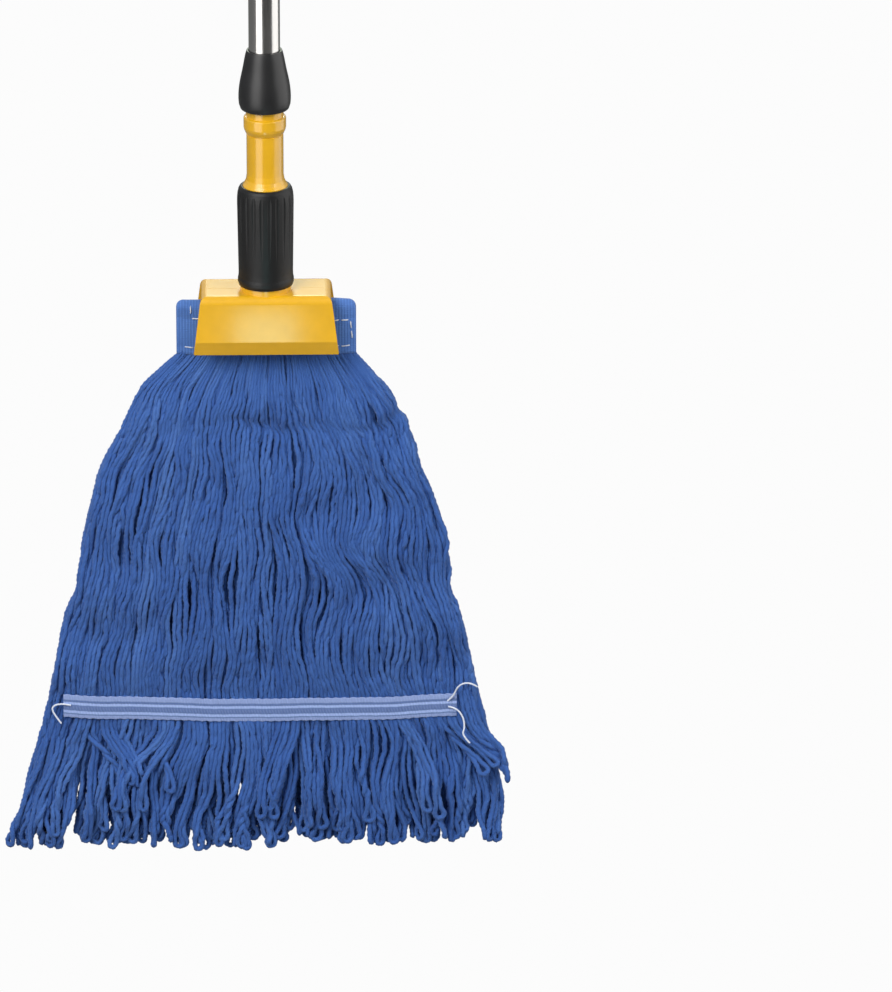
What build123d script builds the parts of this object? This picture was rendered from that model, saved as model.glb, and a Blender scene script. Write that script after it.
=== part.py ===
"""String mop: a three-section steel handle, a screw-down jaw clamp and a looped-end cotton mop head.

Frame: millimetres, +Z up along the handle. The origin is the centre of the round top of the
hanging eye. +X runs across the jaws and -Y is the front, the side that the moving jaw is on.
"""

import math
import os

from build123d import *

os.makedirs("parts", exist_ok=True)

# ---- Driving dimensions -----------------------------------------------------------------------
TUBE_R = 12.5
TUBE_WALL = 0.8
TUBE_LENGTH = 430.0
SECTION_PITCH = 434.0
SLIDE_GAP = 0.15
MOVE_GAP = 0.3

GRIP_R = 14.5
GRIP_LENGTH = 171.0
EYE_R = 7.7
EYE_HEIGHT = 30.0
EYE_THICKNESS = 17.0
SCALLOPS = 7
SCALLOP_PITCH = 11.0

COUPLER_R = 14.3
COUPLER_HALF = 56.5
STUD_R = 9.0
STUD_LENGTH = 24.0
INSERT_DEPTH = 36.0
FLANGE = 1.1
WASHER = 1.3

COLLAR_HEIGHT = 48.5
COLLAR_R = 20.8
NECK_SHOWN = 64.5
NECK_R = 14.7
NECK_BORE_R = 10.1
NECK_BEAD_R = 16.9
THREAD_R = 18.0
THREAD_LEAD = 5.0
NUT_HEIGHT = 82.5
NUT_R = 22.6
NUT_FLUTES = 22
NUT_FOOT = 6.5
FLUTE_R = 2.6
FLUTE_DEPTH = 0.75
BOSS_R = 20.3
BOSS_HEIGHT = 4.5

JAW_TOP_HALF = 52.0
JAW_LIP_HALF = 58.0
JAW_HEIGHT = 48.0
JAW_WALL = 3.0
JAW_CORNER_R = 6.0
GRIP_GAP = 8.4
SEAM = 0.15

BAND_WIDTH = 143.5
BAND_HEIGHT = 45.0
BAND_THICKNESS = 16.0
BAND_CLOTH = 1.6

TAIL_DROP = 303.0
TAIL_LENGTH = 318.0
TAIL_SHIFT = -7.0
TAIL_WIDTH = 18.5
TAIL_CLOTH = 1.4
TAIL_PINCH = 18.6
YARN_DROP = 428.0
THREAD_D = 1.4

# ---- Heights that follow ----------------------------------------------------------------------
GRIP_TOP = GRIP_R
GRIP_BOTTOM = GRIP_TOP - GRIP_LENGTH
JOINT_1 = -513.5
JOINT_2 = JOINT_1 - SECTION_PITCH
LOWER_TUBE_TOP = JOINT_2 - (SECTION_PITCH - TUBE_LENGTH) / 2
LOWER_TUBE_END = LOWER_TUBE_TOP - TUBE_LENGTH
COLLAR_TOP = -1330.0
COLLAR_BOTTOM = COLLAR_TOP - COLLAR_HEIGHT
NECK_TOP = COLLAR_TOP - 16.0
NUT_TOP = COLLAR_BOTTOM - NECK_SHOWN
NUT_BOTTOM = NUT_TOP - NUT_HEIGHT
JAW_TOP = NUT_BOTTOM - BOSS_HEIGHT
JAW_LIP = JAW_TOP - JAW_HEIGHT
BAND_TOP = JAW_TOP - 9.0
BAND_BOTTOM = BAND_TOP - BAND_HEIGHT
TAIL_Z = BAND_BOTTOM - TAIL_DROP
PIVOT_Y = -6.0
PIVOT_Z = NUT_BOTTOM + 15.0


def save(part, name):
    """Labels a finished piece and writes it to its own STEP file."""
    part.label = name
    export_step(part, f"parts/{name}.step")


def turned(outline):
    """A body of revolution about the handle's axis, from closed (radius, height) corners."""
    with BuildPart() as body:
        with BuildSketch(Plane.XZ):
            with BuildLine():
                Polyline(*outline, close=True)
            make_face()
        revolve(axis=Axis.Z)
    return body.part


def ring(inner, outer, low, high):
    """A plain ring about the handle's axis."""
    return turned([(inner, low), (outer, low), (outer, high), (inner, high)])


# ---- Handle: grip, three tubes and the two screwed couplers ------------------------------------
def handle_grip():
    """Moulded grip: a round body flattened towards the hanging eye, with finger scallops."""
    eye_side = EYE_THICKNESS / 2
    with BuildPart() as grip:
        with BuildSketch(Plane.XZ):
            with BuildLine():
                Line((0, GRIP_BOTTOM), (GRIP_R, GRIP_BOTTOM))
                Line((GRIP_R, GRIP_BOTTOM), (GRIP_R, 0))
                CenterArc((0, 0), GRIP_R, 0, 90)
                Line((0, GRIP_TOP), (0, GRIP_BOTTOM))
            make_face()
        revolve(axis=Axis.Z)
        with BuildSketch(Plane.YZ):
            with BuildLine():
                Polyline(
                    (-GRIP_R, GRIP_BOTTOM),
                    (GRIP_R, GRIP_BOTTOM),
                    (GRIP_R, -62),
                    (eye_side, -26),
                    (eye_side - 1, GRIP_TOP),
                    (-eye_side + 1, GRIP_TOP),
                    (-eye_side, -26),
                    (-GRIP_R, -62),
                    close=True,
                )
            make_face()
        extrude(amount=GRIP_R + 1, both=True, mode=Mode.INTERSECT)
        with BuildSketch(Plane.XZ):
            Circle(EYE_R)
            with Locations((0, -(EYE_HEIGHT - EYE_R) / 2)):
                Rectangle(2 * EYE_R, EYE_HEIGHT - EYE_R)
        extrude(amount=GRIP_R + 1, both=True, mode=Mode.SUBTRACT)
        fillet(grip.edges().filter_by(Axis.Y, reverse=True).group_by(Axis.Z)[-1], 0.8)
        with BuildSketch(Plane.XZ):
            for i in range(SCALLOPS):
                with Locations((GRIP_R + 4.4, -70 - i * SCALLOP_PITCH)):
                    Circle(5.4)
        extrude(amount=GRIP_R + 1, both=True, mode=Mode.SUBTRACT)
        with Locations((0, 0, GRIP_BOTTOM)):
            Cylinder(
                TUBE_R,
                GRIP_LENGTH - 96.0,
                align=(Align.CENTER, Align.CENTER, Align.MIN),
                mode=Mode.SUBTRACT,
            )
    return grip.part


def tube(top):
    """One stainless section of the handle, hanging from the height top."""
    return ring(TUBE_R - TUBE_WALL, TUBE_R, top - TUBE_LENGTH, top)


def stud_plug(tube_end):
    """Moulded plug pressed into a tube's lower end, with the threaded stud below its flange."""
    shoulder = tube_end - FLANGE
    tip = shoulder - STUD_LENGTH
    return turned(
        [
            (0, tube_end + INSERT_DEPTH),
            (0, tip),
            (STUD_R - 1.5, tip),
            (STUD_R, tip + 1.5),
            (STUD_R, shoulder),
            (TUBE_R, shoulder),
            (TUBE_R, tube_end),
            (TUBE_R - TUBE_WALL, tube_end),
            (TUBE_R - TUBE_WALL, tube_end + INSERT_DEPTH),
        ]
    )


def socket_insert(tube_top):
    """Moulded insert pressed into a tube's upper end, with the threaded bore for the stud."""
    bore = STUD_R + MOVE_GAP
    face = tube_top + FLANGE
    return turned(
        [
            (bore, face),
            (TUBE_R, face),
            (TUBE_R, tube_top),
            (TUBE_R - TUBE_WALL, tube_top),
            (TUBE_R - TUBE_WALL, tube_top - INSERT_DEPTH),
            (bore, tube_top - INSERT_DEPTH),
        ]
    )


def coupler(joint):
    """Black sleeve over a joint: loose on the tube above, tight on the tube below."""
    edge = 0.6
    return turned(
        [
            (TUBE_R, joint - COUPLER_HALF),
            (COUPLER_R - edge, joint - COUPLER_HALF),
            (COUPLER_R, joint - COUPLER_HALF + edge),
            (COUPLER_R, joint + COUPLER_HALF - edge),
            (COUPLER_R - edge, joint + COUPLER_HALF),
            (TUBE_R + SLIDE_GAP, joint + COUPLER_HALF),
            (TUBE_R + SLIDE_GAP, joint - 3),
            (TUBE_R, joint - 3),
        ]
    )


save(handle_grip(), "handle_grip")
half_gap = (SECTION_PITCH - TUBE_LENGTH) / 2
save(tube(JOINT_1 + half_gap + TUBE_LENGTH), "upper_tube")
save(tube(JOINT_1 - half_gap), "middle_tube")
save(tube(LOWER_TUBE_TOP), "lower_tube")
for joint, upper, lower in (
    (JOINT_1, "upper", "middle"),
    (JOINT_2, "middle", "lower"),
):
    save(stud_plug(joint + half_gap), f"{upper}_tube_stud")
    save(socket_insert(joint - half_gap), f"{lower}_tube_socket")
    seal_top = joint + half_gap - FLANGE - 0.05
    save(ring(STUD_R + 0.6, TUBE_R - 0.2, seal_top - WASHER, seal_top), f"{upper}_joint_seal")
    save(coupler(joint), f"{upper}_coupler")

# Foot that closes the lower tube's end and seats on the step in the neck.
FOOT_FACE = LOWER_TUBE_END - 1.5
save(
    turned(
        [
            (0, LOWER_TUBE_END + 12),
            (0, FOOT_FACE),
            (TUBE_R - 1, FOOT_FACE),
            (TUBE_R, FOOT_FACE + 1),
            (TUBE_R, LOWER_TUBE_END),
            (TUBE_R - TUBE_WALL, LOWER_TUBE_END),
            (TUBE_R - TUBE_WALL, LOWER_TUBE_END + 12),
        ]
    ),
    "lower_tube_foot",
)


# ---- Lock collar and its compression ring -------------------------------------------------------
RING_TOP = COLLAR_TOP - 4.0
RING_HEIGHT = 11.5
RING_R = (13.3, 14.7)
COLLAR_THREAD_R = 15.0

with BuildPart() as lock_collar:
    with BuildSketch(Plane.XZ):
        with BuildLine():
            Line((TUBE_R + MOVE_GAP, COLLAR_TOP), (14.1, COLLAR_TOP))
            Spline(
                (14.1, COLLAR_TOP),
                (17.0, COLLAR_TOP - 13.3),
                (19.6, COLLAR_TOP - 26.0),
                (COLLAR_R, COLLAR_TOP - 38.5),
                (COLLAR_R - 0.4, COLLAR_TOP - 44.5),
                tangents=((0.35, -1), (-0.16, -1)),
            )
            Line((COLLAR_R - 0.4, COLLAR_TOP - 44.5), (COLLAR_R - 1.7, COLLAR_BOTTOM))
            Polyline(
                (COLLAR_R - 1.7, COLLAR_BOTTOM),
                (COLLAR_THREAD_R + MOVE_GAP, COLLAR_BOTTOM),
                (COLLAR_THREAD_R + MOVE_GAP, NECK_TOP + 0.6),
                (RING_R[0] + MOVE_GAP, RING_TOP + 0.4),
                (TUBE_R + MOVE_GAP, RING_TOP + 0.4),
                (TUBE_R + MOVE_GAP, COLLAR_TOP),
            )
        make_face()
    revolve(axis=Axis.Z)
    fillet(lock_collar.edges().group_by(Axis.Z)[0].sort_by(SortBy.RADIUS)[-1], 1.4)
save(lock_collar.part, "lock_collar")

with BuildPart() as compression_ring:
    with BuildSketch(Plane.XZ):
        with BuildLine():
            Polyline(
                (TUBE_R + 0.08, RING_TOP),
                (RING_R[0], RING_TOP),
                (RING_R[1], RING_TOP - RING_HEIGHT),
                (TUBE_R + 0.08, RING_TOP - RING_HEIGHT),
                close=True,
            )
        make_face()
    revolve(axis=Axis.Z)
    with Locations((0, RING_R[1], RING_TOP - RING_HEIGHT / 2)):
        Box(2.0, 8.0, RING_HEIGHT + 2, mode=Mode.SUBTRACT)
save(compression_ring.part, "compression_ring")


# ---- Jaw clamp ------------------------------------------------------------------------------------
BOSS_TOP = NUT_BOTTOM - MOVE_GAP
TONGUE_HALF = 10.0
BULGE = 28.5
BEVEL_DROP = 36.0


def jaw_body(side):
    """One jaw: wall, ribs and the grooved plate that holds the band. side is -1 in front."""
    top, lip = JAW_TOP, JAW_LIP
    shoulder, inner_shoulder = (7.0, 4.5) if side < 0 else (2.5, 0.9)
    with BuildPart() as jaw:
        with BuildSketch(Plane.YZ):
            with BuildLine():
                FilletPolyline(
                    (side * SEAM, top),
                    (side * 23.5, top),
                    (side * BULGE, top - BEVEL_DROP),
                    (side * 24.5, lip),
                    (side * SEAM, lip),
                    radius=(shoulder, 1.2, 0.8),
                )
                Line((side * SEAM, lip), (side * SEAM, top))
            make_face()
        extrude(amount=JAW_LIP_HALF, both=True)
        with BuildSketch(Plane.XZ):
            with BuildLine():
                FilletPolyline(
                    (JAW_TOP_HALF, top + 0.01),
                    (JAW_LIP_HALF, lip - 0.01),
                    (-JAW_LIP_HALF, lip - 0.01),
                    (-JAW_TOP_HALF, top + 0.01),
                    radius=(JAW_CORNER_R, 1.5, 1.5, JAW_CORNER_R),
                    close=True,
                )
            make_face()
        extrude(amount=40, both=True, mode=Mode.INTERSECT)
        with BuildSketch(Plane.YZ):
            with BuildLine():
                FilletPolyline(
                    (side * (SEAM - 1), top - JAW_WALL),
                    (side * 20.6, top - JAW_WALL),
                    (side * (BULGE - JAW_WALL), top - BEVEL_DROP),
                    (side * 21.9, lip + 1.2),
                    (side * 21.9, lip - 1),
                    (side * (SEAM - 1), lip - 1),
                    radius=(inner_shoulder, 0.9, 0.4, 0.4),
                )
                Line((side * (SEAM - 1), lip - 1), (side * (SEAM - 1), top - JAW_WALL))
            make_face()
        extrude(amount=JAW_LIP_HALF + 1, both=True, mode=Mode.SUBTRACT)
        for x in (-46, -23, 0, 23, 46):
            with BuildSketch(Plane.YZ.offset(x)):
                with BuildLine():
                    Polyline(
                        (side * (GRIP_GAP + 1), top - 1.5),
                        (side * 17.0, top - 1.5),
                        (side * 23.0, top - 10),
                        (side * 26.6, top - 34.5),
                        (side * 23.2, lip + 2.5),
                        (side * (GRIP_GAP + 1), lip + 6),
                        close=True,
                    )
                make_face()
            extrude(amount=1.2, both=True)
        with Locations((0, side * (GRIP_GAP + 1.25), top - 22.0)):
            Box(94, 2.5, 42)
        for i in range(5):
            with Locations((0, side * GRIP_GAP, top - 18 - i * 5)):
                Box(96, 1.6, 1.6, mode=Mode.SUBTRACT)
        # Half of the raised disc that the nut's rim comes down on.
        with BuildSketch(Plane.XY.offset(top - 1)):
            Circle(BOSS_R)
            with Locations((0, -side * (BOSS_R - SEAM))):
                Rectangle(3 * BOSS_R, 2 * BOSS_R, mode=Mode.SUBTRACT)
        extrude(amount=BOSS_TOP - top + 1)
    return jaw.part


front_jaw_body = jaw_body(-1)
back_jaw_body = jaw_body(1)

with BuildPart() as front_jaw:
    add(front_jaw_body)
    with BuildSketch(Plane.YZ):
        with BuildLine():
            Polyline(
                (-13.0, JAW_TOP - 1),
                (-1.5, JAW_TOP - 1),
                (-1.5, PIVOT_Z - 2),
                (-3.0, PIVOT_Z + 3.5),
                (-9.0, PIVOT_Z + 3.5),
                (-13.0, PIVOT_Z - 3),
                close=True,
            )
        make_face()
    extrude(amount=TONGUE_HALF, both=True)
    with Locations(Location((0, PIVOT_Y, PIVOT_Z), (0, 90, 0))):
        Cylinder(1.56, 30, mode=Mode.SUBTRACT)
save(front_jaw.part, "front_jaw")

with BuildPart() as clamp_frame:
    add(back_jaw_body)
    with BuildSketch(Plane.XZ):
        with BuildLine():
            Polyline(
                (0, JAW_TOP - 1),
                (THREAD_R, JAW_TOP - 1),
                (THREAD_R, NUT_TOP + 0.4),
                (NECK_R + 1.8, NUT_TOP + 2.8),
                (NECK_R + 0.6, NUT_TOP + 5.5),
                (NECK_R, NUT_TOP + 10),
                (NECK_R, COLLAR_BOTTOM - 21.4),
                (NECK_R - 0.4, COLLAR_BOTTOM - 21.1),
                (NECK_R - 0.4, COLLAR_BOTTOM - 20.5),
                (NECK_R + 0.4, COLLAR_BOTTOM - 20.2),
                (NECK_BEAD_R - 0.4, COLLAR_BOTTOM - 17.0),
                (NECK_BEAD_R, COLLAR_BOTTOM - 15.0),
                (NECK_BEAD_R, COLLAR_BOTTOM - 7.8),
                (NECK_BEAD_R - 0.3, COLLAR_BOTTOM - 6.9),
                (NECK_BEAD_R - 1.2, COLLAR_BOTTOM - 6.3),
                (COLLAR_THREAD_R, COLLAR_BOTTOM - 6.1),
                (COLLAR_THREAD_R, NECK_TOP),
                (0, NECK_TOP),
                close=True,
            )
        make_face()
    revolve(axis=Axis.Z)
    # Thread drawn as rings, so that the nut's bore turns clear of it.
    for i in range(11):
        with BuildSketch(Plane.XY.offset(NUT_BOTTOM + 12 + i * THREAD_LEAD)):
            Circle(THREAD_R + 1)
            Circle(THREAD_R - 1.1, mode=Mode.SUBTRACT)
        extrude(amount=2.0, mode=Mode.SUBTRACT)
    # Socket for the handle, then a lighter bore down the neck.
    socket_floor = FOOT_FACE - 0.3
    with Locations((0, 0, socket_floor)):
        Cylinder(
            TUBE_R + 0.1,
            NECK_TOP - socket_floor + 1,
            align=(Align.CENTER, Align.CENTER, Align.MIN),
            mode=Mode.SUBTRACT,
        )
    with Locations((0, 0, PIVOT_Z + 16)):
        Cylinder(
            NECK_BORE_R,
            socket_floor - PIVOT_Z - 15,
            align=(Align.CENTER, Align.CENTER, Align.MIN),
            mode=Mode.SUBTRACT,
        )
    # Slot for the front jaw's tongue, and the slope that the opening jaw rises into.
    with BuildSketch(Plane.YZ):
        with BuildLine():
            Polyline(
                (-THREAD_R - 1, JAW_TOP - 2),
                (SEAM, JAW_TOP - 2),
                (SEAM, PIVOT_Z + 5),
                (-THREAD_R - 1, PIVOT_Z + 7),
                close=True,
            )
        make_face()
    extrude(amount=TONGUE_HALF + 0.4, both=True, mode=Mode.SUBTRACT)
    with BuildSketch(Plane.YZ):
        with BuildLine():
            Polyline(
                (-THREAD_R - 6, JAW_TOP - 2),
                (SEAM, JAW_TOP - 2),
                (SEAM, NUT_BOTTOM),
                (-THREAD_R - 6, NUT_BOTTOM + 7.5),
                close=True,
            )
        make_face()
    extrude(amount=THREAD_R + 6, both=True, mode=Mode.SUBTRACT)
    with Locations(Location((0, PIVOT_Y, PIVOT_Z), (0, 90, 0))):
        Cylinder(1.5, 2 * THREAD_R + 2, mode=Mode.SUBTRACT)
save(clamp_frame.part, "clamp_frame")

with BuildPart() as jaw_pivot_pin:
    with Locations(Location((0, PIVOT_Y, PIVOT_Z), (0, 90, 0))):
        Cylinder(1.5, 32.5)
    chamfer(jaw_pivot_pin.edges(), 0.3)
save(jaw_pivot_pin.part, "jaw_pivot_pin")

# Nut: tapered barrel with flutes, a smooth foot and a recess for the thrust ring.
RECESS_R = 20.3
RECESS_TOP = NUT_BOTTOM + 5.8
with BuildPart() as clamp_nut:
    with BuildSketch(Plane.XZ):
        with BuildLine():
            Polyline(
                (THREAD_R + MOVE_GAP, NUT_TOP),
                (NUT_R - 3.3, NUT_TOP),
                (NUT_R - 2.2, NUT_TOP - 0.8),
                (NUT_R - 1.2, NUT_TOP - 2.6),
                (NUT_R - 0.5, NUT_TOP - 5.6),
                (NUT_R - 0.1, NUT_TOP - 9.5),
                (NUT_R, NUT_TOP - 13),
                (NUT_R - 0.9, NUT_BOTTOM + 11),
                (NUT_R - 0.8, NUT_BOTTOM + NUT_FOOT + 1),
                (NUT_R - 0.3, NUT_BOTTOM + 5),
                (NUT_R - 0.2, NUT_BOTTOM + 2.5),
                (NUT_R - 1.0, NUT_BOTTOM),
                (RECESS_R, NUT_BOTTOM),
                (RECESS_R, RECESS_TOP),
                (THREAD_R + MOVE_GAP, RECESS_TOP),
                close=True,
            )
        make_face()
    revolve(axis=Axis.Z)
    with BuildSketch(Plane.XY.offset(NUT_BOTTOM + NUT_FOOT)):
        with PolarLocations(NUT_R + FLUTE_R - FLUTE_DEPTH, NUT_FLUTES):
            Circle(FLUTE_R)
    extrude(amount=NUT_HEIGHT - NUT_FOOT, mode=Mode.SUBTRACT)
save(clamp_nut.part, "clamp_nut")

save(
    ring(THREAD_R + MOVE_GAP, RECESS_R - 0.2, NUT_BOTTOM + 0.2, RECESS_TOP - 0.2),
    "thrust_ring",
)


# ---- Mop head -------------------------------------------------------------------------------------
with BuildPart() as headband:
    with Locations((0, 0, BAND_TOP - BAND_HEIGHT / 2)):
        Box(BAND_WIDTH, BAND_THICKNESS, BAND_HEIGHT)
    fillet(headband.edges().filter_by(Axis.Z), 5.0)
    fillet(headband.faces().sort_by(Axis.Z)[-1].edges(), 3.0)
    with BuildSketch(Plane.XY.offset(BAND_BOTTOM)):
        RectangleRounded(BAND_WIDTH - 2 * BAND_CLOTH, BAND_THICKNESS - 2 * BAND_CLOTH, 3.4)
    extrude(amount=BAND_HEIGHT - BAND_CLOTH, mode=Mode.SUBTRACT)
save(headband.part, "headband")

# (drop below the headband, width, thickness) of the yarn as it fans out and is sewn in again.
SKIRT = (
    (0.0, BAND_WIDTH - 4, BAND_THICKNESS - 3.4),
    (16.0, 176.0, 20.0),
    (46.0, 214.0, 26.0),
    (77.0, 242.0, 30.0),
    (119.0, 270.0, 33.0),
    (166.0, 294.0, 34.0),
    (220.0, 318.0, 33.0),
    (259.0, 334.0, 28.0),
    (TAIL_DROP - TAIL_WIDTH / 2, 346.0, TAIL_PINCH),
    (TAIL_DROP + TAIL_WIDTH / 2, 354.0, TAIL_PINCH),
)
FRINGE = (
    SKIRT[-1],
    (342.0, 376.0, 28.0),
    (378.0, 394.0, 33.0),
    (YARN_DROP, 406.0, 30.0),
)


def bundle(stations):
    """Yarn lofted straight from each flat oval section to the next."""
    with BuildPart() as yarn:
        for drop, width, thickness in stations:
            with BuildSketch(Plane.XY.offset(BAND_BOTTOM - drop)):
                SlotOverall(width, thickness)
        loft(ruled=True)
    return yarn.part


skirt_fan = bundle(SKIRT)
with BuildPart() as yarn_skirt:
    add(skirt_fan)
    with BuildSketch(Plane.XY.offset(BAND_BOTTOM - 1)):
        RectangleRounded(BAND_WIDTH - 4, BAND_THICKNESS - 3.6, 3.2)
    extrude(amount=BAND_HEIGHT - BAND_CLOTH + 0.8)
save(yarn_skirt.part, "yarn_skirt")
save(bundle(FRINGE), "loop_fringe")

# Tapes sewn through the yarn, one on each face; they end short of the outermost strands.
TAPE_Y = TAIL_PINCH / 2 + 0.02 + TAIL_CLOTH / 2
for side, name in ((-1, "front_tail_tape"), (1, "back_tail_tape")):
    with BuildPart() as tape:
        with Locations((TAIL_SHIFT, side * TAPE_Y, TAIL_Z)):
            Box(TAIL_LENGTH, TAIL_CLOTH, TAIL_WIDTH)
        fillet(tape.edges().filter_by(Axis.Y), 1.0)
    save(tape.part, name)


# ---- Loose thread ends at the tail band ---------------------------------------------------------
# Routes, from the band outwards: (x, y, height above the tail band's middle line).
THREAD_ROUTES = {
    "right_lower_thread": (
        (145.0, -11.6, 0.5),
        (151.5, -12.0, -0.5),
        (157.3, -13.6, -8.0),
        (158.3, -16.2, -16.5),
        (156.0, -17.6, -22.0),
        (162.4, -18.8, -28.6),
    ),
    "right_upper_thread": (
        (144.5, -11.6, 5.5),
        (149.5, -12.2, 10.0),
        (152.0, -14.2, 18.0),
        (157.0, -15.8, 22.5),
        (163.5, -15.8, 22.5),
        (168.5, -15.2, 19.0),
    ),
    "left_thread": (
        (-160.0, -11.6, 4.0),
        (-168.0, -12.2, 6.0),
        (-175.5, -13.0, 3.5),
        (-174.0, -13.8, -2.5),
        (-167.8, -15.0, -10.4),
    ),
}


def thread(route):
    """A loose thread as a round tube on straight runs and tangent arcs."""
    points = [Vector(x, y, TAIL_Z + h) for x, y, h in route]
    runs = [b - a for a, b in zip(points, points[1:])]
    radii = []
    for a, b in zip(runs, runs[1:]):
        turn = math.radians(a.get_angle(b))
        radii.append(0.45 * min(a.length, b.length) / math.tan(turn / 2))
    print("bend radii of the thread:", [round(r, 1) for r in radii])
    with BuildPart() as cord:
        with BuildLine() as path:
            FilletPolyline(*points, radius=radii)
        with BuildSketch(Plane(origin=path.line @ 0, z_dir=path.line % 0)):
            Circle(THREAD_D / 2)
        sweep()
    length = sum(edge.length for edge in path.line.edges())
    area = math.pi * THREAD_D**2 / 4
    print(f"length {length:.1f}, volume {cord.part.volume:.2f}, section by length {area * length:.2f}")
    return cord.part


for name, route in THREAD_ROUTES.items():
    save(thread(route), name)
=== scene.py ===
"""Looks of the string mop: yarn, bands, stitching, materials, light and camera around the CAD frame.

Lengths are in metres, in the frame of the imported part: +Z up along the handle, +X across the jaws
and -Y to the front. `drop` is a distance measured down from the headband's lower edge.
"""

import math

import bpy
import numpy as np
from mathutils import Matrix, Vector


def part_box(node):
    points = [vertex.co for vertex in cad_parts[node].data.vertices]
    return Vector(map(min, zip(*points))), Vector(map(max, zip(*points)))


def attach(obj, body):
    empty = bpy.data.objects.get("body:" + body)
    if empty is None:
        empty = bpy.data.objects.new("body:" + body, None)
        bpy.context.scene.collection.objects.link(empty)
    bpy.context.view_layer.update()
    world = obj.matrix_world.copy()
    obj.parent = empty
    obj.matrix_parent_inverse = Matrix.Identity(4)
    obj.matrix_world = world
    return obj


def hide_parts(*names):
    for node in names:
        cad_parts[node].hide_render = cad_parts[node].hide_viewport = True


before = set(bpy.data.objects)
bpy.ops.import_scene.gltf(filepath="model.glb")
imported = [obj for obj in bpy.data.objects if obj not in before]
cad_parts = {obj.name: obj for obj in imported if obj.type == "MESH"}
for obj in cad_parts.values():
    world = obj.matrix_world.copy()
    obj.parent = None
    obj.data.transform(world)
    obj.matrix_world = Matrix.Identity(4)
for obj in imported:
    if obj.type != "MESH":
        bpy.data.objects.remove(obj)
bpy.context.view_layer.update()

MM = 0.001

# ---- Where the mop head's parts lie, read from the frame -----------------------------------------
BAND_LOW, BAND_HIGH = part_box("headband")
TAPE_LOW, TAPE_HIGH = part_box("front_tail_tape")
FRINGE_LOW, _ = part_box("loop_fringe")
BAND_BOTTOM = BAND_LOW.z
TAPE_Z = (TAPE_LOW.z + TAPE_HIGH.z) / 2
TAPE_DROP = BAND_BOTTOM - TAPE_Z
TAPE_INSIDE = -TAPE_HIGH.y
END_DROP = BAND_BOTTOM - FRINGE_LOW.z


# ---- Node helper ---------------------------------------------------------------------------------
class Finish:
    """A Principled material, with short calls for the nodes that feed it."""

    def __init__(self, name, color, roughness, **sockets):
        self.material = bpy.data.materials.new(name)
        self.material.use_nodes = True
        self.tree = self.material.node_tree
        self.shader = self.tree.nodes["Principled BSDF"]
        self.set("Base Color", color)
        self.set("Roughness", roughness)
        for socket, value in sockets.items():
            self.set(socket.replace("_", " "), value)

    def set(self, socket, value):
        """Gives the shader's own socket a plain value."""
        if isinstance(value, tuple) and len(value) == 3:
            value = (*value, 1.0)
        self.shader.inputs[socket].default_value = value

    def add(self, kind, *inputs, **settings):
        """Adds a node; inputs are values or sockets in order, None leaving one as it is."""
        node = self.tree.nodes.new("ShaderNode" + kind)
        for name, value in settings.items():
            setattr(node, name, value)
        for socket, value in zip(node.inputs, inputs):
            if isinstance(value, bpy.types.NodeSocket):
                self.tree.links.new(value, socket)
            elif value is not None:
                socket.default_value = value
        return node

    def math(self, operation, a, b=None, c=None):
        return self.add("Math", a, b, c, operation=operation).outputs[0]

    def place(self, stretch=(1, 1, 1), source="Object"):
        """Texture coordinates in metres on the object, or its UVs, scaled along each axis."""
        coordinates = self.add("TexCoord").outputs[source]
        mapping = self.add("Mapping")
        self.tree.links.new(coordinates, mapping.inputs["Vector"])
        mapping.inputs["Scale"].default_value = stretch
        return mapping.outputs[0]

    def noise(self, scale, detail=3.0, roughness=0.55, at=None):
        node = self.add("TexNoise")
        self.tree.links.new(at or self.place(), node.inputs["Vector"])
        node.inputs["Scale"].default_value = scale
        node.inputs["Detail"].default_value = detail
        node.inputs["Roughness"].default_value = roughness
        return node.outputs["Fac"]

    def ramp(self, factor, *stops, ease="LINEAR"):
        """A colour ramp with (position, colour or grey) stops."""
        node = self.add("ValToRGB", factor)
        ramp = node.color_ramp
        ramp.interpolation = ease
        while len(ramp.elements) < len(stops):
            ramp.elements.new(0.5)
        for element, (position, color) in zip(ramp.elements, stops):
            element.position = position
            element.color = (color, color, color, 1) if isinstance(color, (int, float)) else (*color, 1)
        return node.outputs["Color"]

    def mix(self, factor, a, b, blend="MIX"):
        node = self.add("Mix", data_type="RGBA", blend_type=blend)
        for socket, value in ((0, factor), (6, a), (7, b)):
            if isinstance(value, bpy.types.NodeSocket):
                self.tree.links.new(value, node.inputs[socket])
            elif isinstance(value, tuple):
                node.inputs[socket].default_value = (*value, 1)
            else:
                node.inputs[socket].default_value = value
        return node.outputs[2]

    def color(self, socket):
        self.tree.links.new(socket, self.shader.inputs["Base Color"])

    def rough(self, factor, low, high):
        spread = self.add("MapRange", factor, 0.0, 1.0, low, high)
        self.tree.links.new(spread.outputs[0], self.shader.inputs["Roughness"])

    def bump(self, height, distance, strength=1.0):
        """Adds a bump of a height in metres on top of any bump that is there."""
        node = self.add("Bump")
        node.inputs["Strength"].default_value = strength
        node.inputs["Distance"].default_value = distance
        self.tree.links.new(height, node.inputs["Height"])
        normal = self.shader.inputs["Normal"]
        if normal.is_linked:
            self.tree.links.new(normal.links[0].from_socket, node.inputs["Normal"])
        self.tree.links.new(node.outputs[0], normal)


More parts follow.
